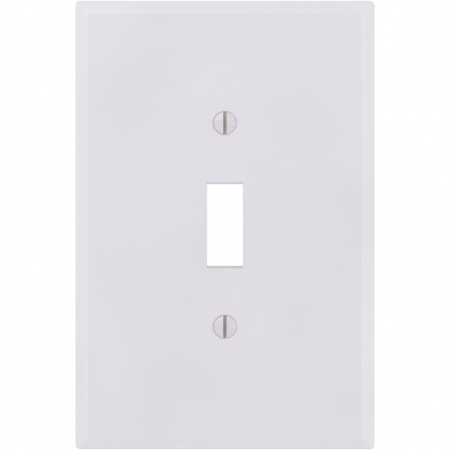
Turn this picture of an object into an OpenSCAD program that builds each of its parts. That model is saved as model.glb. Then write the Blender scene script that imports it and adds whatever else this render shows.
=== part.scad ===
// Oversize one-gang wall plate for a toggle switch, with its two captive mounting screws.
// Millimetres. +Z is up, the front faces -Y, and the wall plane is y = 0. The origin is the plate's
// centre on the wall plane, which the rim of the hollow back rests on.

/* [Plate] */
// Width of the plate
plate_w = 88.9; // [70:0.05:120]
// Height of the plate
plate_h = 133.35; // [114.3:0.05:165]
// Depth from the wall plane to the front face
plate_depth = 6.48; // [5.4:0.02:8]
// Thickness of the front face
face_t = 2.3; // [2:0.05:2.8]
// Thickness of the rim that stands on the wall
rim_t = 2; // [1.4:0.05:2.6]
// Width of the sloping border
bevel_w = 3.9; // [3:0.05:6]
// How far the sloping border falls back from the front face
bevel_drop = 3.4; // [2.4:0.05:4]
// Radius where the front face turns into the sloping border
face_blend_r = 0.8; // [0.2:0.05:1.2]
// Radius where the sloping border turns into the side
edge_blend_r = 0.6; // [0.2:0.05:1]
// Radius of the outline's corners
corner_r = 1.3; // [0.8:0.05:1.8]
// Radius of the fillets inside the hollow back
inside_r = 0.5; // [0.2:0.05:0.8]

/* [Lever opening] */
// Width of the opening for the switch lever
opening_w = 10.65; // [9:0.05:14]
// Height of the opening for the switch lever
opening_h = 24.3; // [20:0.05:30]
// Radius of the rolled lip at the top and bottom of the opening
opening_lip_r = 0.75; // [0.3:0.05:1.2]
// Thickness of the collar round the opening, behind the face
collar_t = 1.5; // [1:0.05:2.5]
// Height of the collar above the back of the face
collar_h = 1.8; // [1:0.05:2]
// Radius of the collar's outer corners
collar_corner_r = 1; // [0.5:0.05:1]

/* [Ribs] */
// Thickness of the stiffening ribs
rib_t = 1.2; // [0.8:0.05:2]
// Height of the ribs above the back of the face
rib_h = 0.9; // [0.6:0.05:1.4]
// Distance of each long rib from the centre line
long_rib_x = 24; // [12:0.5:30]
// Distance of each outer cross rib from the centre of the plate
cross_rib_z = 48; // [42:0.5:52]

/* [Screw holes] */
// Distance between the two screws
screw_spacing = 60.325; // [50:0.005:75]
// Gap between the thread and the wall of its hole
hole_clearance = 0.45; // [0.25:0.05:0.7]
// Wall of the boss round each hole, behind the face
boss_wall = 2.5; // [1.6:0.05:3.5]
// Height of each boss above the back of the face
boss_h = 1; // [0.6:0.05:1.4]

/* [Screws] */
// Major diameter of the thread
thread_d = 3.505; // [2.9:0.005:4.3]
// Diameter of the plain neck under the head
neck_d = 2.9; // [2.4:0.05:2.95]
// Length of the screw from the edge of its head to the tip
screw_length = 12.7; // [10:0.1:25.4]
// Diameter of the head
head_d = 6.7; // [5.6:0.05:8.2]
// Full angle of the head's cone and of its countersink
head_angle = 82; // [80:1:90]
// Height of the domed top above the edge of the head
head_rise = 0.95; // [0.5:0.05:1.4]
// Thickness of the narrow band at the edge of the head
head_band = 0.15; // [0.1:0.05:0.3]
// Width of the driver slot
slot_w = 0.95; // [0.6:0.05:1.2]
// Depth of the driver slot below the top of the dome
slot_depth = 1.3; // [0.8:0.05:1.6]
// Length of the chamfer at the tip
tip_chamfer = 0.5; // [0.3:0.05:0.8]
// Gap between the head's cone and its countersink
head_gap = 0.05; // [0.03:0.01:0.15]
// Width of countersink that shows round the head
head_reveal = 0.18; // [0.1:0.01:0.4]

/* [Retaining washers] */
// Thickness of each retaining washer
washer_t = 0.6; // [0.4:0.05:0.8]
// How far the washer laps over the boss round the hole
washer_lap = 1.5; // [1:0.05:2]
// Travel of the screw before its washer meets the boss
washer_play = 1; // [0.6:0.05:1.2]
// Room round the washer's edge, where it draws up to its boss
washer_room = 0.4; // [0.2:0.05:0.8]
// Gap between the washer's bore and the screw's neck
washer_fit = 0.05; // [0.02:0.01:0.09]
// Gap between the washer and the first thread
washer_end_gap = 0.1; // [0.05:0.01:0.2]
// Number of slits that let the washer snap over the thread
slit_count = 4; // [3:1:6]
// Width of each slit
slit_w = 0.4; // [0.2:0.05:0.6]
// Length of each slit from the bore outwards
slit_length = 0.85; // [0.5:0.05:1]

/* [Hidden] */
$fn = 96;
past = 1; // how far a cutter runs past the surface it opens

// Depth coordinates, along Y: the wall plane is 0 and the front is negative
front_y = -plate_depth;
face_back_y = front_y + face_t;
boss_end_y = face_back_y + boss_h;
washer_front_y = boss_end_y + washer_play;
washer_back_y = washer_front_y + washer_t;
thread_start_y = washer_back_y + washer_end_gap;

// Slope of the border, and the same border one wall further in
slope = bevel_drop / bevel_w;
slope_angle = atan(slope);
slope_inset_x = rim_t * sin(slope_angle);
slope_inset_y = rim_t * cos(slope_angle);
inner_edge_y = front_y + bevel_drop + slope_inset_y - (rim_t - slope_inset_x) * slope;
inner_bevel_drop = inner_edge_y - face_back_y;
inner_bevel_w = inner_bevel_drop / slope;
inner_slope_length = inner_bevel_drop / sin(slope_angle);
// The inside fillets share the slope between them, so a short slope limits them
turns_per_r = tan(slope_angle / 2) + tan((90 - slope_angle) / 2);
inner_r = min(inside_r, 0.9 * inner_slope_length / turns_per_r);

// Hole and head, both drawn from the same cone
half_angle = head_angle / 2;
hole_r = thread_d / 2 + hole_clearance;
countersink_r = head_d / 2 + head_reveal;
head_cone_r = countersink_r - head_gap / cos(half_angle);
head_edge_y = front_y + (head_cone_r - head_d / 2) / tan(half_angle) - head_band;
head_top_y = head_edge_y - head_rise;
dome_r = (pow(head_d / 2, 2) + pow(head_rise, 2)) / (2 * head_rise);
neck_start_y = front_y + (head_cone_r - neck_d / 2) / tan(half_angle);
tip_y = head_edge_y + screw_length;

plate_colour = [0.89, 0.88, 0.9];
head_colour = [0.84, 0.82, 0.83];
washer_colour = [0.93, 0.91, 0.85];

// Section of a body with a sloping border: flat front, slope, straight side, both turns rounded.
// x is measured from the centre line and y is the depth.
module border_section(half, face_y, back_y, slope_w, slope_drop, face_r, edge_r) {
    face_turn = face_r * tan(slope_angle / 2);
    edge_turn = edge_r * tan((90 - slope_angle) / 2);
    along = [cos(slope_angle), sin(slope_angle)];
    face_corner = [half - slope_w, face_y];
    edge_corner = [half, face_y + slope_drop];
    right_side = [
        face_corner - [face_turn, 0],
        face_corner + face_turn * along,
        edge_corner - edge_turn * along,
        edge_corner + [0, edge_turn],
        [half, back_y],
    ];
    left_side = [for (i = [len(right_side) - 1:-1:0]) [-right_side[i][0], right_side[i][1]]];
    polygon(concat(right_side, left_side));
    for (side = [-1, 1]) {
        translate([side * (face_corner[0] - face_turn), face_y + face_r]) circle(face_r);
        translate([side * (half - edge_r), edge_corner[1] + edge_turn]) circle(edge_r);
    }
}

// Rectangle with true round corners, centred
module round_rectangle(w, h, r) {
    square([w - 2 * r, h], center = true);
    square([w, h - 2 * r], center = true);
    for (x = [-1, 1], z = [-1, 1]) translate([x * (w / 2 - r), z * (h / 2 - r)]) circle(r);
}

// Extrudes an outline drawn in X and Z from one depth to another
module between(from_y, to_y) {
    translate([0, to_y, 0]) rotate([90, 0, 0]) linear_extrude(to_y - from_y) children();
}

// Body with a sloping border on all four sides: two crossed prisms trimmed to a rounded outline
module sloped_body(w, h, face_y, back_y, slope_w, slope_drop, face_r, edge_r, outline_r) {
    intersection() {
        linear_extrude(2 * h, center = true)
            border_section(w / 2, face_y, back_y, slope_w, slope_drop, face_r, edge_r);
        rotate([0, 90, 0]) linear_extrude(2 * w, center = true)
            border_section(h / 2, face_y, back_y, slope_w, slope_drop, face_r, edge_r);
        between(face_y - past, back_y + past) round_rectangle(w, h, outline_r);
    }
}

// Collar, bosses and ribs that stand on the back of the face
module back_features() {
    root_y = face_back_y - face_t / 2;
    between(root_y, face_back_y + collar_h)
        round_rectangle(opening_w + 2 * collar_t, opening_h + 2 * collar_t, collar_corner_r);
    for (z = [-1, 1]) translate([0, 0, z * screw_spacing / 2])
        between(root_y, boss_end_y) circle(hole_r + boss_wall);
    between(root_y, face_back_y + rib_h) difference() {
        union() {
            for (x = [-1, 0, 1]) translate([x * long_rib_x, 0]) square([rib_t, plate_h], center = true);
            for (z = [-cross_rib_z, -screw_spacing / 2, screw_spacing / 2, cross_rib_z])
                translate([0, z]) square([plate_w, rib_t], center = true);
        }
        for (z = [-1, 1]) translate([0, z * screw_spacing / 2])
            circle(hole_r + washer_lap + washer_room);
    }
}

// Clear way through the plate for the lever, with its rolled top and bottom lips
module lever_opening() {
    rotate([0, 90, 0]) linear_extrude(opening_w, center = true) difference() {
        union() {
            translate([-opening_h / 2, front_y - past]) square([opening_h, plate_depth + 2 * past]);
            translate([-opening_h / 2 - opening_lip_r, front_y - past])
                square([opening_h + 2 * opening_lip_r, opening_lip_r + past]);
        }
        for (side = [-1, 1])
            translate([side * (opening_h / 2 + opening_lip_r), front_y + opening_lip_r])
                circle(opening_lip_r);
    }
}

// Countersunk clearance hole for one screw, drawn at the height of the plate's centre
module screw_hole() {
    reach = countersink_r + past * tan(half_angle);
    between(front_y - past, past) circle(hole_r);
    translate([0, front_y - past, 0]) rotate([-90, 0, 0])
        cylinder(h = reach / tan(half_angle), r1 = reach, r2 = 0);
}

module plate() {
    color(plate_colour) difference() {
        sloped_body(plate_w, plate_h, front_y, 0, bevel_w, bevel_drop, face_blend_r, edge_blend_r, corner_r);
        difference() {
            sloped_body(plate_w - 2 * rim_t, plate_h - 2 * rim_t, face_back_y, past, inner_bevel_w,
                        inner_bevel_drop, inner_r, inner_r, inner_r);
            back_features();
        }
        lever_opening();
        for (z = [-1, 1]) translate([0, 0, z * screw_spacing / 2]) screw_hole();
    }
}

// Oval-head slotted screw on its own axis: dome, band, cone, plain neck, thread and chamfered tip.
// The thread is drawn as a plain cylinder of its major diameter.
module mounting_screw() {
    color(head_colour) difference() {
        rotate([-90, 0, 0]) rotate_extrude() {
            polygon([
                [0, head_edge_y],
                [head_d / 2, head_edge_y],
                [head_d / 2, head_edge_y + head_band],
                [neck_d / 2, neck_start_y],
                [neck_d / 2, thread_start_y],
                [thread_d / 2, thread_start_y],
                [thread_d / 2, tip_y - tip_chamfer],
                [thread_d / 2 - tip_chamfer, tip_y],
                [0, tip_y],
            ]);
            intersection() {
                translate([0, head_top_y + dome_r]) circle(dome_r);
                translate([0, head_top_y - past]) square([head_d, head_rise + past]);
            }
        }
        translate([-slot_w / 2, head_top_y - past, -head_d])
            cube([slot_w, slot_depth + past, 2 * head_d]);
    }
}

module upper_screw() { translate([0, 0, screw_spacing / 2]) mounting_screw(); }
module lower_screw() { translate([0, 0, -screw_spacing / 2]) mounting_screw(); }

// Thin slit washer that snaps over the thread and stays on the neck, behind the boss
module retaining_washer() {
    bore_r = neck_d / 2 + washer_fit;
    color(washer_colour) between(washer_front_y, washer_back_y) difference() {
        circle(hole_r + washer_lap);
        circle(bore_r);
        for (i = [0:slit_count - 1]) rotate(45 + i * 360 / slit_count)
            translate([0, -slit_w / 2]) square([bore_r + slit_length, slit_w]);
    }
}

module upper_retaining_washer() { translate([0, 0, screw_spacing / 2]) retaining_washer(); }
module lower_retaining_washer() { translate([0, 0, -screw_spacing / 2]) retaining_washer(); }

plate();
upper_screw();
lower_screw();
upper_retaining_washer();
lower_retaining_washer();
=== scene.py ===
import math

import bmesh
import bpy
from mathutils import Matrix, Vector


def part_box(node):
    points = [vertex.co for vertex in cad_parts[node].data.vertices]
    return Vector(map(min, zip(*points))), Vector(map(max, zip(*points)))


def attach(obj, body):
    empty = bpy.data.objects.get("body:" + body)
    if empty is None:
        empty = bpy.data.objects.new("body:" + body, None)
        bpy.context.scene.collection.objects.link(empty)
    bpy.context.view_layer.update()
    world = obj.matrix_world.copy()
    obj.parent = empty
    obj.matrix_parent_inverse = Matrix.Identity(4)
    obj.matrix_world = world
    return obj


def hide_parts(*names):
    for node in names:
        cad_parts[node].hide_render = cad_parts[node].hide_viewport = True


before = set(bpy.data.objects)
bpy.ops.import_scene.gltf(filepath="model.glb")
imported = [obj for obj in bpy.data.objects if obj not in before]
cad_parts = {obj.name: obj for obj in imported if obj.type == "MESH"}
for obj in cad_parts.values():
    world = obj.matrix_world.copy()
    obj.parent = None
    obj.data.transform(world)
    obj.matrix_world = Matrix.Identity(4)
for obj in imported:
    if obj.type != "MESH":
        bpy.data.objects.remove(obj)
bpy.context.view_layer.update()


# ---- Plate -----------------------------------------------------------------------------------
# The plate is one glossy white thermoset moulding. All four sides of its front slope back to a
# thin rim, which stands on the wall, and its hollow back has ribs, ejector marks, a collar round
# the lever opening and a boss at each screw hole. The two screws hold it to the switch.

mm = 0.001
plate_low, plate_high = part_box("plate")
plate_half_w = plate_high.x
plate_half_h = plate_high.z
front_y = plate_low.y
wall_y = plate_high.y
screw_places = {}
for position in ("upper", "lower"):
    screw_low, screw_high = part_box(position + "_screw")
    screw_places[position] = Vector((0, 0, (screw_low.z + screw_high.z) / 2))

face_t = 2.3 * mm
rim_t = 2 * mm
border_w = 3.9 * mm
border_drop = 3.4 * mm
face_blend_r = 0.8 * mm
edge_blend_r = 0.6 * mm
corner_r = 1.3 * mm
mitre_r = 0.9 * mm
inside_r = 0.5 * mm
rim_edge = 0.2 * mm
face_back_y = front_y + face_t
slope_angle = math.atan2(border_drop, border_w)

opening_w = 10.65 * mm
opening_h = 24.3 * mm
opening_lip_r = 0.75 * mm
opening_edge = 0.12 * mm
collar_t = 1.5 * mm
collar_h = 1.8 * mm
collar_corner_r = 1 * mm
rib_t = 1.2 * mm
rib_h = 0.9 * mm
rib_xs = (-24 * mm, 0, 24 * mm)
rib_zs = (-48 * mm, screw_places["lower"].z, screw_places["upper"].z, 48 * mm)
hole_r = 2.2025 * mm
boss_r = hole_r + 2.5 * mm
boss_h = 1 * mm
countersink_r = 3.53 * mm
countersink_angle = math.radians(41)
hole_edge = 0.1 * mm
back_edge = 0.22 * mm
ejector_r = 1.9 * mm
ejector_depth = 0.12 * mm
ejector_xs = (12 * mm, 34 * mm)
ejector_zs = (22 * mm, 57.5 * mm)

# How far a cutter passes a face, and how near points count as on one surface or as one point
past = 1 * mm
near = 0.01 * mm
sliver = 0.002 * mm


def solid(name, bm):
    """Makes an object of a bmesh, with its faces outwards."""
    bmesh.ops.recalc_face_normals(bm, faces=bm.faces)
    mesh = bpy.data.meshes.new(name)
    bm.to_mesh(mesh)
    bm.free()
    made = bpy.data.objects.new(name, mesh)
    bpy.context.scene.collection.objects.link(made)
    return made


def block(bm, size, centre):
    """Adds a box and returns its vertices."""
    place = Matrix.LocRotScale(Vector(centre), None, Vector(size))
    return bmesh.ops.create_cube(bm, size=1, matrix=place)["verts"]


def bevel(bm, edges, amount, segments):
    """Rounds edges, amount from each edge to where its arc starts."""
    bmesh.ops.bevel(
        bm, geom=edges, offset=amount, offset_type="OFFSET", affect="EDGES", segments=segments,
        profile=0.5, material=-1, clamp_overlap=True,
    )


def edges_between(verts, test):
    """Edges of these vertices whose two ends both pass the test, in a fixed order."""
    found = dict.fromkeys(edge for vert in verts for edge in vert.link_edges)
    return [edge for edge in found if all(test(end.co) for end in edge.verts)]


def soften_back(bm, verts, amount):
    """Rounds the edges of the end that points back to the wall."""
    end_y = max(vert.co.y for vert in verts)
    bevel(bm, edges_between(verts, lambda co: abs(co.y - end_y) < sliver), amount, 4)


def settle(piece):
    """Applies a piece's modifiers to its mesh."""
    graph = bpy.context.evaluated_depsgraph_get()
    mesh = bpy.data.meshes.new_from_object(piece.evaluated_get(graph))
    piece.modifiers.clear()
    piece.data = mesh


def combine(piece, tool, operation="DIFFERENCE"):
    """Applies one Boolean of the tool to the piece, merges slivers and removes the tool."""
    step = piece.modifiers.new(operation.lower(), "BOOLEAN")
    step.operation = operation
    step.solver = "EXACT"
    step.object = tool
    settle(piece)
    bpy.data.objects.remove(tool)
    bm = bmesh.new()
    bm.from_mesh(piece.data)
    bmesh.ops.remove_doubles(bm, verts=bm.verts, dist=sliver)
    bmesh.ops.dissolve_degenerate(bm, edges=bm.edges, dist=sliver)
    bm.to_mesh(piece.data)
    bm.free()


def round_edges(piece, test, amount, segments):
    """Rounds the piece's sharp edges whose two ends both pass the test."""
    bm = bmesh.new()
    bm.from_mesh(piece.data)
    least_turn = math.radians(30)
    edges = [e for e in edges_between(bm.verts, test) if e.calc_face_angle(0) > least_turn]
    bevel(bm, edges, amount, segments)
    bm.to_mesh(piece.data)
    bm.free()


def turned(name, outline, axis_at, steps):
    """Solid turned round a Y axis from an outline of (radius, depth) points."""
    bm = bmesh.new()
    ends = [bm.verts.new((axis_at.x + radius, depth, axis_at.z)) for radius, depth in outline]
    lines = [bm.edges.new(pair) for pair in zip(ends, ends[1:])]
    bmesh.ops.spin(
        bm, geom=ends + lines, cent=axis_at, axis=(0, 1, 0), angle=math.tau, steps=steps,
        use_merge=True,
    )
    bmesh.ops.remove_doubles(bm, verts=bm.verts, dist=sliver)
    bmesh.ops.dissolve_limit(bm, angle_limit=math.radians(0.1), verts=bm.verts, edges=bm.edges)
    return solid(name, bm)


def sloped_block(name, half_w, half_h, depths, slope_w, offsets):
    """Block whose face is set back in a slope on all four sides. depths are those of its face, of
    the outer edge of the slope and of its back. offsets are how far from each kind of edge its
    rounding starts, by the depths that the edge joins."""
    face_y, edge_y, back_y = depths
    bm = bmesh.new()
    block(bm, (2 * half_w, back_y - edge_y, 2 * half_h), (0, (back_y + edge_y) / 2, 0))
    face = min(bm.faces, key=lambda side: side.calc_center_median().y)
    bmesh.ops.inset_region(bm, faces=[face], thickness=slope_w, use_even_offset=True)
    bmesh.ops.translate(bm, verts=face.verts, vec=(0, face_y - edge_y, 0))
    widest = max(offsets.values())
    weight = bm.edges.layers.float.new("bevel_weight_edge")
    for edge in bm.edges:
        levels = [min(range(3), key=lambda i: abs(depths[i] - end.co.y)) for end in edge.verts]
        edge[weight] = offsets.get(tuple(sorted(levels)), 0) / widest
    made = solid(name, bm)
    rounding = made.modifiers.new("rounding", "BEVEL")
    rounding.limit_method = "WEIGHT"
    rounding.width = widest
    rounding.segments = 8
    settle(made)
    return made


def turn_offset(radius, turn):
    """How far from an edge an arc of that radius starts, where the surface turns by that angle."""
    return radius * math.tan(turn / 2)


side_angle = math.pi / 2 - slope_angle
mitre_angle = math.acos(math.cos(slope_angle) ** 2)
plate = sloped_block(
    "plate_moulding", plate_half_w, plate_half_h, (front_y, front_y + border_drop, wall_y), border_w,
    {
        (0, 0): turn_offset(face_blend_r, slope_angle),
        (0, 1): turn_offset(mitre_r, mitre_angle),
        (1, 1): turn_offset(edge_blend_r, side_angle),
        (1, 2): corner_r,
    },
)

# The hollow keeps the rim's thickness under the slope too, and what stands in it is left uncut
slope = border_drop / border_w
inset_x = rim_t * math.sin(slope_angle)
inset_y = rim_t * math.cos(slope_angle)
hollow_edge_y = front_y + border_drop + inset_y - (rim_t - inset_x) * slope
hollow = sloped_block(
    "hollow", plate_half_w - rim_t, plate_half_h - rim_t, (face_back_y, hollow_edge_y, wall_y + past),
    (hollow_edge_y - face_back_y) / slope,
    {
        (0, 0): turn_offset(inside_r, slope_angle),
        (0, 1): turn_offset(inside_r, mitre_angle),
        (1, 1): turn_offset(inside_r, side_angle),
        (1, 2): inside_r,
    },
)


def standing_blocks(name, boxes, height, end_round, corner=0):
    """Blocks that stand on the back of the face, each given as (x, z, width, length)."""
    bm = bmesh.new()
    root_y = face_back_y - past / 3
    end_y = face_back_y + height
    for x, z, width, length in boxes:
        verts = block(bm, (width, end_y - root_y, length), (x, (root_y + end_y) / 2, z))
        if corner:
            edges = edges_between(verts, lambda co: True)
            bevel(bm, [e for e in edges if abs(e.verts[0].co.y - e.verts[1].co.y) > past], corner, 8)
            verts = bm.verts[:]
        soften_back(bm, verts, end_round)
    return solid(name, bm)


long_ribs = [(x, 0, rib_t, 2 * plate_half_h) for x in rib_xs]
cross_ribs = [(0, z, 2 * plate_half_w, rib_t) for z in rib_zs]
collar = [(0, 0, opening_w + 2 * collar_t, opening_h + 2 * collar_t)]
combine(hollow, standing_blocks("long_ribs", long_ribs, rib_h, back_edge))
combine(hollow, standing_blocks("cross_ribs", cross_ribs, rib_h, back_edge))
combine(hollow, standing_blocks("collar", collar, collar_h, back_edge, collar_corner_r))
for place in screw_places.values():
    end_y = face_back_y + boss_h
    arc_r = boss_r - back_edge
    arc_y = end_y - back_edge
    rounded_end = [
        (arc_r + back_edge * math.cos(turn), arc_y + back_edge * math.sin(turn))
        for turn in (step * math.pi / 8 for step in range(5))
    ]
    outline = [(0, face_back_y - past / 2), (boss_r, face_back_y - past / 2), *rounded_end, (0, end_y)]
    combine(hollow, turned("boss", outline, place, 96))
combine(plate, hollow)

# Ejector pins leave shallow round marks between the ribs
for x in ejector_xs:
    for z in ejector_zs:
        for side_x, side_z in ((-1, -1), (-1, 1), (1, -1), (1, 1)):
            outline = [
                (0, face_back_y - ejector_depth),
                (ejector_r, face_back_y - ejector_depth),
                (ejector_r + ejector_depth, face_back_y + ejector_depth),
                (0, face_back_y + ejector_depth),
            ]
            combine(plate, turned("ejector_mark", outline, Vector((side_x * x, 0, side_z * z)), 40))

# The lever opening is cut to its full height between two bars, which leave its rolled lips
bm = bmesh.new()
lip_h = opening_h / 2 + opening_lip_r
block(bm, (opening_w, face_t + collar_h + 2 * past, 2 * lip_h), (0, face_back_y, 0))
opening = solid("opening", bm)
for side in (-1, 1):
    bm = bmesh.new()
    bar_z = side * (opening_h / 2 + past)
    verts = block(bm, (2 * opening_w, 4 * face_t, 2 * past), (0, front_y + 2 * face_t, bar_z))
    lip_z = side * opening_h / 2
    lip = edges_between(verts, lambda co: abs(co.z - lip_z) < near and co.y < front_y + near)
    bevel(bm, lip, opening_lip_r, 12)
    combine(opening, solid("lip_bar", bm))
combine(plate, opening)

for place in screw_places.values():
    mouth_r = countersink_r + past * math.tan(countersink_angle)
    seat_y = front_y + (countersink_r - hole_r) / math.tan(countersink_angle)
    outline = [
        (0, front_y - past), (mouth_r, front_y - past), (hole_r, seat_y), (hole_r, wall_y), (0, wall_y),
    ]
    combine(plate, turned("screw_hole", outline, place, 96))


def near_hole(radius, depth):
    """Test for points that lie on a ring of that radius round a screw hole."""
    def test(co):
        return abs(co.y - depth) < near and any(
            abs(math.hypot(co.x - place.x, co.z - place.z) - radius) < 5 * near
            for place in screw_places.values()
        )
    return test


round_edges(plate, near_hole(countersink_r, front_y), hole_edge, 3)
round_edges(plate, near_hole(hole_r, face_back_y + boss_h), hole_edge, 3)
collar_y = face_back_y + collar_h
mouth_half_w = opening_w / 2 + near
round_edges(
    plate, lambda co: abs(co.y - collar_y) < near and abs(co.x) < mouth_half_w, opening_edge, 3,
)
round_edges(plate, lambda co: abs(co.y - wall_y) < near, rim_edge, 4)


def shade(piece):
    """Smooth shading that keeps sharp edges sharp and flats flat."""
    piece.data.shade_smooth()
    piece.data.set_sharp_from_angle(angle=math.radians(32))
    even = piece.modifiers.new("even_normals", "WEIGHTED_NORMAL")
    even.keep_sharp = True


shade(plate)


class Signal:
    """A shader socket. Operators on it add Math nodes, and node() adds any other node."""

    def __init__(self, tree, socket=None):
        self.tree = tree
        self.socket = socket

    def node(self, kind, settings=None, inputs=None, output=0):
        made = self.tree.nodes.new(kind)
        for name, value in (settings or {}).items():
            setattr(made, name, value)
        for name, value in (inputs or {}).items():
            if isinstance(value, Signal):
                self.tree.links.new(value.socket, made.inputs[name])
            else:
                made.inputs[name].default_value = value
        return Signal(self.tree, made.outputs[output] if made.outputs else None)

    def math(self, operation, *values):
        return self.node("ShaderNodeMath", {"operation": operation}, dict(enumerate(values)))

    def __add__(self, other):
        return self.math("ADD", self, other)

    def __radd__(self, other):
        return self.math("ADD", other, self)

    def __sub__(self, other):
        return self.math("SUBTRACT", self, other)

    def __rsub__(self, other):
        return self.math("SUBTRACT", other, self)

    def __mul__(self, other):
        return self.math("MULTIPLY", self, other)

    def __rmul__(self, other):
        return self.math("MULTIPLY", other, self)

    def __abs__(self):
        return self.math("ABSOLUTE", self)


def new_finish(name):
    """An empty material: the material, and a signal that adds its nodes."""
    material = bpy.data.materials.new(name)
    material.use_nodes = True
    material.node_tree.nodes.clear()
    return material, Signal(material.node_tree)


def along(point, axis):
    """One coordinate of a point."""
    return point.node("ShaderNodeSeparateXYZ", {}, {0: point}, axis)


def fade(value, start, end):
    """0 where the value is at or past start, 1 at or past end, and smooth in between."""
    limits = {"Value": value, "From Min": start, "From Max": end}
    return value.node("ShaderNodeMapRange", {"interpolation_type": "SMOOTHSTEP"}, limits)


def noise(point, size, detail=3):
    """Soft noise whose blotches are about that size in metres."""
    return point.node("ShaderNodeTexNoise", {}, {"Vector": point, "Scale": 1 / size, "Detail": detail})


def tint(amount, under, over):
    """Colour that goes from under to over as the amount goes from 0 to 1."""
    return amount.node("ShaderNodeMix", {"data_type": "RGBA"}, {0: amount, 6: under, 7: over}, 2)


def stretched(point, scale):
    """The point with its axes scaled, for marks that run one way."""
    return point.node("ShaderNodeMapping", {}, {"Vector": point, "Scale": scale})


def ring_radius(point, place):
    """Distance from the Y axis through a place."""
    flat = point.node("ShaderNodeVectorMath", {"operation": "MULTIPLY"}, {0: point, 1: (1, 0, 1)})
    return flat.node("ShaderNodeVectorMath", {"operation": "DISTANCE"}, {0: flat, 1: place}, 1)


plate_white = (0.74, 0.724, 0.768, 1)
plate_warm = (0.72, 0.7, 0.735, 1)
# Dark tint for the grime in the screw holes, which also serves as painted shadow there and as painted
# shade on the lips
plate_grime_and_shade = (0.43, 0.4, 0.41, 1)
plate_back = (0.72, 0.71, 0.745, 1)

moulded_white, start = new_finish("moulded_white")
point = start.node("ShaderNodeTexCoord", output="Object")
x = along(point, "X")
y = along(point, "Y")
z = along(point, "Z")

# The tool's polish on the front, and the duller cut of the core that formed the back
behind = fade(y, face_back_y - past / 9, face_back_y)
behind = behind * fade(abs(x), plate_half_w - 0.75 * rim_t, plate_half_w - rim_t)
behind = behind * fade(abs(z), plate_half_h - 0.75 * rim_t, plate_half_h - rim_t)
cloud = noise(point, 30 * mm)
mottle = noise(point, 4 * mm)
peel = noise(point, 1.1 * mm, 1)
grain = noise(point, 0.16 * mm, 2)
wipe_marks = fade(noise(stretched(point, (1, 1, 0.06)), 0.3 * mm, 2), 0.66, 0.74)
wipe_marks = wipe_marks * fade(cloud, 0.5, 0.65)
cutter_marks = noise(stretched(point, (0.05, 1, 1)), 0.3 * mm, 2)

# Finger grease polishes the face round the lever. Grime settles in the screw holes, and painted
# shadow darkens them further, mostly at the left. Painted shade darkens the front of the opening's
# two lips, mostly the lower one
from_lever = start.math("MAXIMUM", abs(x) - 6 * mm, abs(z) - 14 * mm)
handled = noise(point, 9 * mm) * fade(from_lever, 14 * mm, 0)
rings = [
    fade(ring_radius(point, place), countersink_r + 0.3 * mm, countersink_r - 0.2 * mm)
    for place in screw_places.values()
]
# Painted shadow: the holes' darkening is made stronger at the left, where the heads' shadow falls
shadow_side = 0.3 + 0.7 * fade(x, countersink_r, -countersink_r / 2)
hole_grime_and_shadow = (rings[0] + rings[1]) * (0.6 + 0.4 * mottle) * shadow_side
lip_z = opening_h / 2 + opening_lip_r
lips = fade(abs(z), lip_z + 0.1 * mm, lip_z - 0.3 * mm)
lips = lips * fade(abs(x), opening_w / 2, opening_w / 2 - 0.15 * mm)
lips = lips * fade(y, front_y + 2.2 * mm, front_y + 0.5 * mm)
# Painted shade: the front of the lips is darkened, the lower lip more
lip_darkening = lips * (0.4 + 0.6 * fade(z, 0, -past)) * (0.7 + 0.6 * mottle)
colour = tint(fade(cloud, 0.35, 0.7), plate_white, plate_warm)
colour = tint(behind, colour, plate_back)
# Real grime, painted shadow at the holes and painted shade on the lips, in one dark tint
colour = tint(hole_grime_and_shadow * 0.6 + lip_darkening * 0.65, colour, plate_grime_and_shade)
roughness = 0.2 + 0.06 * mottle + 0.05 * wipe_marks - 0.06 * handled + 0.26 * behind
roughness = roughness + 0.2 * hole_grime_and_shadow + 0.2 * lip_darkening
relief = (peel - 0.04 * wipe_marks) * (1 - behind) + (0.5 * grain + 0.8 * cutter_marks) * behind
bump = start.node("ShaderNodeBump", {}, {"Height": relief, "Strength": 0.5, "Distance": 0.04 * mm})
surface = start.node("ShaderNodeBsdfPrincipled", {}, {
    "Base Color": colour, "Roughness": roughness, "Normal": bump, "IOR": 1.52,
})
start.node("ShaderNodeOutputMaterial", {}, {"Surface": surface})
plate.data.materials.append(moulded_white)
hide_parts("plate")
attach(plate, "plate_body")


# ---- Screws ----------------------------------------------------------------------------------
# Each screw is a half-inch 6-32 oval-head machine screw of zinc-plated steel, cold headed, slotted
# and rolled. Its head is painted to match the plate, and the plain neck under it turns in the
# retaining washer. The thread goes into the switch's strap.

screw_length = 12.7 * mm
head_r = 3.35 * mm
head_rise = 0.95 * mm
head_band = 0.15 * mm
head_edge = 0.05 * mm
neck_r = 1.45 * mm
thread_r = 1.7525 * mm
thread_pitch = 25.4 * mm / 32
thread_flank = math.radians(30)
thread_steps = 40
core_r = 1.1 * mm
tip_chamfer = 0.5 * mm
slot_w = 0.95 * mm
slot_depth = 1.3 * mm
slot_edge = 0.06 * mm
dome_r = (head_r ** 2 + head_rise ** 2) / (2 * head_rise)
tip_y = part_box("upper_screw")[1].y
head_edge_y = tip_y - screw_length
head_top_y = head_edge_y - head_rise
neck_start_y = head_edge_y + head_band + (head_r - neck_r) / math.tan(countersink_angle)
thread_start_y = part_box("upper_retaining_washer")[1].y + 0.1 * mm
neck_end_y = thread_start_y + 0.05 * mm


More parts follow.
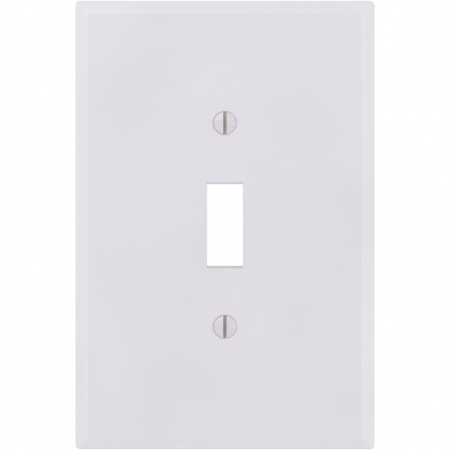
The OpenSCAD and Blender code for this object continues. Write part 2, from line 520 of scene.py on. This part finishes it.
def rolled_thread(place):
    """The threaded end: one pitch of the 60 degree form, wound up into a helix and trimmed."""
    crest = thread_pitch / 8
    root = thread_pitch / 4
    flank = (thread_pitch - crest - root) / 2
    root_r = thread_r - flank / math.tan(thread_flank)
    form = [
        (root_r, 0), (root_r, root / 2), (thread_r, root / 2 + flank),
        (thread_r, root / 2 + flank + crest), (root_r, thread_pitch - root / 2), (root_r, thread_pitch),
    ]
    turns = math.ceil((tip_y - thread_start_y) / thread_pitch) + 3
    from_y = thread_start_y - 2 * thread_pitch
    bm = bmesh.new()
    ends = [bm.verts.new((place.x + radius, from_y + depth, place.z)) for radius, depth in form]
    lines = [bm.edges.new(pair) for pair in zip(ends, ends[1:])]
    bmesh.ops.spin(
        bm, geom=ends + lines, cent=place, axis=(0, 1, 0), dvec=(0, thread_pitch / thread_steps, 0),
        angle=math.tau * turns, steps=thread_steps * turns,
    )
    bmesh.ops.remove_doubles(bm, verts=bm.verts, dist=sliver)
    for cut_y, away in ((thread_start_y - thread_pitch / 3, -1), (tip_y + thread_pitch / 3, 1)):
        sliced = bmesh.ops.bisect_plane(
            bm, geom=bm.verts[:] + bm.edges[:] + bm.faces[:], plane_co=(0, cut_y, 0),
            plane_no=(0, away, 0), clear_outer=True,
        )
        rim = [item for item in sliced["geom_cut"] if isinstance(item, bmesh.types.BMEdge)]
        bmesh.ops.edgeloop_fill(bm, edges=rim)
    made = solid("thread", bm)
    clear = past / 9
    trim = [
        (0, thread_start_y), (root_r, thread_start_y),
        (thread_r + clear, thread_start_y + thread_r + clear - root_r),
        (thread_r + clear, tip_y - tip_chamfer - clear), (thread_r - tip_chamfer, tip_y), (0, tip_y),
    ]
    combine(made, turned("trim", trim, place, 72), "INTERSECT")
    return made


def roll_slot_edges(screw, place):
    """Presses the dome down in a quarter round on each side of where the slot will be cut."""
    bm = bmesh.new()
    bm.from_mesh(screw.data)
    for side in (-1, 1):
        for step in range(1, 5):
            turn = step * math.pi / 8
            out = place.x + side * (slot_w / 2 + slot_edge * (1 - math.sin(turn)))
            dome = [face for face in bm.faces if face.calc_center_median().y < head_edge_y]
            around = dict.fromkeys(part for face in dome for part in (*face.verts, *face.edges))
            cut = bmesh.ops.bisect_plane(
                bm, geom=[*dome, *around], dist=sliver / 2, plane_co=(out, 0, 0), plane_no=(1, 0, 0),
            )["geom_cut"]
            line = [part for part in cut if isinstance(part, bmesh.types.BMVert)]
            bmesh.ops.translate(bm, verts=line, vec=(0, slot_edge * (1 - math.cos(turn)), 0))
    bm.to_mesh(screw.data)
    bm.free()


def oval_head_screw(name, place):
    """The whole screw at one of the plate's two holes."""
    edge_angle = math.asin(head_r / dome_r)
    dome = [
        (dome_r * math.sin(turn), head_top_y + dome_r * (1 - math.cos(turn)))
        for turn in (edge_angle * step / 14 for step in range(15))
    ]
    outline = [
        *dome, (head_r, head_edge_y + head_band), (neck_r, neck_start_y),
        (neck_r, neck_end_y), (core_r, neck_end_y), (core_r, tip_y - past), (0, tip_y - past),
    ]
    screw = turned(name, outline, place, 120)
    rim_r = head_r - near
    round_edges(screw, lambda co: math.hypot(co.x - place.x, co.z - place.z) > rim_r, head_edge, 3)
    roll_slot_edges(screw, place)
    combine(screw, rolled_thread(place), "UNION")
    bm = bmesh.new()
    slot_middle = (place.x, head_top_y + (slot_depth - past) / 2, place.z)
    block(bm, (slot_w, slot_depth + past, 3 * head_r), slot_middle)
    combine(screw, solid("slot", bm))
    shade(screw)
    return screw


painted_zinc, start = new_finish("painted_zinc")
paint = (0.69, 0.655, 0.69, 1)
paint_shade = (0.65, 0.61, 0.64, 1)
# Lighter, warmer paint beside the slot: thinned paint, and also a painted highlight on the slot's edges
thinned_paint_and_highlight = (0.74, 0.67, 0.65, 1)
slot_grime = (0.56, 0.5, 0.505, 1)
bare_steel = (0.36, 0.33, 0.31, 1)
zinc = (0.6, 0.62, 0.64, 1)
zinc_dull = (0.38, 0.39, 0.4, 1)
point = start.node("ShaderNodeTexCoord", output="Object")
y = along(point, "Y")
from_middle = abs(along(point, "X"))
speckle = noise(point, 0.25 * mm)
blotch = noise(point, 1.4 * mm)
peel = noise(point, 0.4 * mm, 1)

# Grime has settled in the slot, and the driver has chipped and thinned the paint along its edges.
# Beside the slot the paint is lighter and warmer, partly thinned paint and partly painted highlight
from_centres = []
for place in screw_places.values():
    centre = (0, head_top_y + dome_r, place.z)
    from_centres.append(
        point.node("ShaderNodeVectorMath", {"operation": "DISTANCE"}, {0: point, 1: centre}, 1)
    )
depth = dome_r - start.math("MINIMUM", *from_centres)
above_floor = fade(y, head_top_y + slot_depth + 0.06 * mm, head_top_y + slot_depth + 0.03 * mm)
in_slot = fade(from_middle, slot_w / 2 + 0.02 * mm, slot_w / 2 + 0.005 * mm) * above_floor
beside_slot = fade(from_middle, slot_w / 2 + 0.5 * mm, slot_w / 2) * above_floor
painted = fade(y, head_edge_y + 0.3 * mm, head_edge_y + 0.2 * mm)
at_edge = fade(from_middle, slot_w / 2 + 0.14 * mm, slot_w / 2)
chipped = fade(speckle + 0.35 * at_edge * fade(depth, 0.35 * mm, 0.05 * mm), 0.8, 0.86) * painted
colour = tint(fade(blotch, 0.4, 0.65), paint, paint_shade)
# Painted highlight: a lighter, warmer band beside the slot, over the thinned paint
colour = tint(beside_slot * 0.7, colour, thinned_paint_and_highlight)
metal = tint(fade(blotch, 0.35, 0.7), zinc, zinc_dull)
colour = tint(painted, metal, colour)
soiled = 0.55 + 0.4 * fade(depth, 0, 0.7 * mm) + 0.2 * (speckle - 0.5)
colour = tint(in_slot * soiled, colour, slot_grime)
colour = tint(chipped, colour, bare_steel)
metallic = (1 - painted) * 0.95 + chipped * 0.6
roughness = 0.3 + 0.12 * blotch + 0.14 * painted + 0.1 * in_slot + 0.1 * speckle * (1 - painted)
relief = peel * painted * (1 - chipped) + speckle * 0.5
bump = start.node("ShaderNodeBump", {}, {"Height": relief, "Strength": 0.5, "Distance": 0.015 * mm})
surface = start.node("ShaderNodeBsdfPrincipled", {}, {
    "Base Color": colour, "Metallic": metallic, "Roughness": roughness, "Normal": bump,
})
start.node("ShaderNodeOutputMaterial", {}, {"Surface": surface})

for position, place in screw_places.items():
    screw = oval_head_screw(position + "_oval_head_screw", place)
    screw.data.materials.append(painted_zinc)
    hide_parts(position + "_screw")
    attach(screw, position + "_screw_body")


# ---- Retaining washers -----------------------------------------------------------------------
# Each washer is punched from natural nylon sheet, with four slits that let it snap over the thread.
# It sits on the screw's neck behind the boss, so a loosened screw stays with the plate.

washer_bore_r = 1.5 * mm
slit_w = 0.4 * mm
slit_length = 0.85 * mm
seat_gap = 0.02 * mm
washer_edge = 0.07 * mm


def slit_washer(name, node):
    """Ring with four slits, in the place of the CAD washer."""
    low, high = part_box(node)
    place = Vector((0, 0, (low.z + high.z) / 2))
    outer_r = (high.x - low.x) / 2
    front = low.y + seat_gap
    outline = [
        (washer_bore_r, front), (outer_r, front), (outer_r, high.y), (washer_bore_r, high.y),
        (washer_bore_r, front),
    ]
    washer = turned(name, outline, place, 96)
    for turn in (math.pi / 4, -math.pi / 4):
        bm = bmesh.new()
        size = (slit_w, 2 * (high.y - low.y), 2 * (washer_bore_r + slit_length))
        verts = block(bm, size, (0, (low.y + high.y) / 2, 0))
        bmesh.ops.rotate(bm, verts=verts, cent=(0, 0, 0), matrix=Matrix.Rotation(turn, 3, "Y"))
        bmesh.ops.translate(bm, verts=verts, vec=place)
        combine(washer, solid("slit", bm))
    round_edges(washer, lambda co: True, washer_edge, 2)
    shade(washer)
    return washer


natural_nylon, start = new_finish("natural_nylon")
nylon = (0.83, 0.8, 0.72, 1)
nylon_dark = (0.74, 0.7, 0.6, 1)
point = start.node("ShaderNodeTexCoord", output="Object")
flow = noise(point, 1.2 * mm)
fine = noise(point, 0.12 * mm, 2)
colour = tint(fade(flow, 0.35, 0.7), nylon, nylon_dark)
relief = fine + 0.6 * flow
bump = start.node("ShaderNodeBump", {}, {"Height": relief, "Strength": 0.5, "Distance": 0.02 * mm})
roughness = 0.38 + 0.16 * flow + 0.08 * fine
surface = start.node("ShaderNodeBsdfPrincipled", {}, {
    "Base Color": colour, "Roughness": roughness, "Normal": bump, "IOR": 1.53,
})
start.node("ShaderNodeOutputMaterial", {}, {"Surface": surface})

for position in screw_places:
    node = position + "_retaining_washer"
    washer = slit_washer(position + "_slit_washer", node)
    washer.data.materials.append(natural_nylon)
    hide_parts(node)
    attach(washer, position + "_washer_body")


# ---- Studio ----------------------------------------------------------------------------------
# A white surround with a pale floor well below the plate. Four soft strips near the plate's own
# plane catch its sloping sides, a large soft light from the upper left models the screws, and
# a smaller one lights the back.

floor_z = -0.6
floor_half = 2.2
camera_distance = 0.9
sensor_w = 0.036
picture_share = 448.5 / 450
surround_light = 0.55

bm = bmesh.new()
bmesh.ops.create_grid(
    bm, x_segments=1, y_segments=1, size=floor_half, matrix=Matrix.Translation((0, 0, floor_z)),
)
floor = solid("floor", bm)
pale_floor, start = new_finish("pale_floor")
point = start.node("ShaderNodeTexCoord", output="Object")
floor_pale = (0.86, 0.86, 0.87, 1)
floor_dull = (0.83, 0.83, 0.84, 1)
colour = tint(noise(point, 0.12), floor_pale, floor_dull)
surface = start.node("ShaderNodeBsdfPrincipled", {}, {"Base Color": colour, "Roughness": 0.7})
start.node("ShaderNodeOutputMaterial", {}, {"Surface": surface})
floor.data.materials.append(pale_floor)

world = bpy.data.worlds.new("white_surround")
world.use_nodes = True
world.node_tree.nodes.clear()
start = Signal(world.node_tree)
seen = start.node("ShaderNodeLightPath", output="Is Camera Ray")
surround = start.node("ShaderNodeBackground", {}, {
    "Color": (1, 1, 1, 1), "Strength": surround_light + (1 - surround_light) * seen,
})
start.node("ShaderNodeOutputWorld", {}, {"Surface": surround})
bpy.context.scene.world = world
bpy.context.scene.view_settings.view_transform = "Standard"

lights = [
    ("left_strip", (-0.5, -0.14, 0), (0.15, 0.5), 0.37),
    ("right_strip", (0.5, -0.14, 0), (0.15, 0.5), 0.92),
    ("top_strip", (0, -0.14, 0.5), (0.5, 0.15), 0.18),
    ("low_strip", (0, -0.14, -0.5), (0.5, 0.15), 0.62),
    ("front_key", (-0.36, -0.65, 0.56), (0.5, 0.5), 3.75),
    ("back_key", (0.55, 0.55, 0.6), (0.25, 0.25), 2.5),
]
for name, place, size, power in lights:
    lamp = bpy.data.lights.new(name, "AREA")
    lamp.shape = "RECTANGLE"
    lamp.size = size[0]
    lamp.size_y = size[1]
    lamp.energy = power
    holder = bpy.data.objects.new(name, lamp)
    holder.location = place
    holder.rotation_euler = (-Vector(place)).to_track_quat("-Z", "Y").to_euler()
    bpy.context.scene.collection.objects.link(holder)

camera = bpy.data.objects.new("camera", bpy.data.cameras.new("camera"))
silhouette_y = front_y + border_drop
camera.data.lens = 1000 * sensor_w * camera_distance * picture_share / (2 * plate_half_h)
camera.location = (0, silhouette_y - camera_distance, 0)
camera.rotation_euler = (math.pi / 2, 0, 0)
bpy.context.scene.collection.objects.link(camera)
bpy.context.scene.camera = camera
